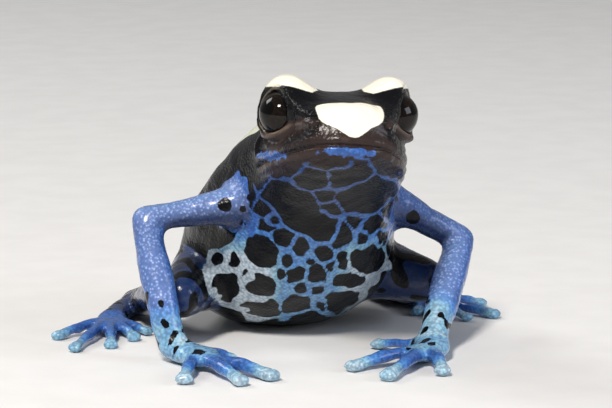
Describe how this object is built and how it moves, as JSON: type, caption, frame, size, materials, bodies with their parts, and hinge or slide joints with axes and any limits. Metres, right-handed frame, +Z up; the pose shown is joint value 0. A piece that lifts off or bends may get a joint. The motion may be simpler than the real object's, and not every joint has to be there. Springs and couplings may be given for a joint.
{
  "type": "dyeing poison frog model",
  "caption": "Life-size still model of a dyeing poison frog, black and blue with a netted belly, sitting up on its forelimbs.",
  "frame": {"origin": "on the floor, under the middle of the whole animal's box", "axes": "-Y is the way the trunk faces, +X is the animal's left, +Z is up"},
  "size_m": [0.0506, 0.0452, 0.0298],
  "materials": {
    "black_skin": "moist black skin with cream patches and a blue net below",
    "blue_skin": "moist, finely granular cobalt blue skin",
    "pale_blue_skin": "moist pale blue skin of the digits",
    "eye": "wet near-black eyeball"
  },
  "bodies": {
    "root": {"eye_left": "eye", "eye_right": "eye", "finger_1_left": "pale_blue_skin", "finger_1_right": "pale_blue_skin", "finger_2_left": "pale_blue_skin", "finger_2_right": "pale_blue_skin", "finger_3_left": "pale_blue_skin", "finger_3_right": "pale_blue_skin", "finger_4_left": "pale_blue_skin", "finger_4_right": "pale_blue_skin", "forearm_left": "blue_skin", "forearm_right": "blue_skin", "head": "black_skin", "lower_jaw": "black_skin", "palm_left": "blue_skin", "palm_right": "blue_skin", "shank_left": "blue_skin", "shank_right": "blue_skin", "tarsus_left": "blue_skin", "tarsus_right": "blue_skin", "thigh_left": "blue_skin", "thigh_right": "blue_skin", "toe_1_left": "pale_blue_skin", "toe_1_right": "pale_blue_skin", "toe_2_left": "pale_blue_skin", "toe_2_right": "pale_blue_skin", "toe_3_left": "pale_blue_skin", "toe_3_right": "pale_blue_skin", "toe_4_left": "pale_blue_skin", "toe_4_right": "pale_blue_skin", "toe_5_left": "pale_blue_skin", "toe_5_right": "pale_blue_skin", "torso": "black_skin", "upper_arm_left": "blue_skin", "upper_arm_right": "blue_skin"}
  },
  "joints": []
}
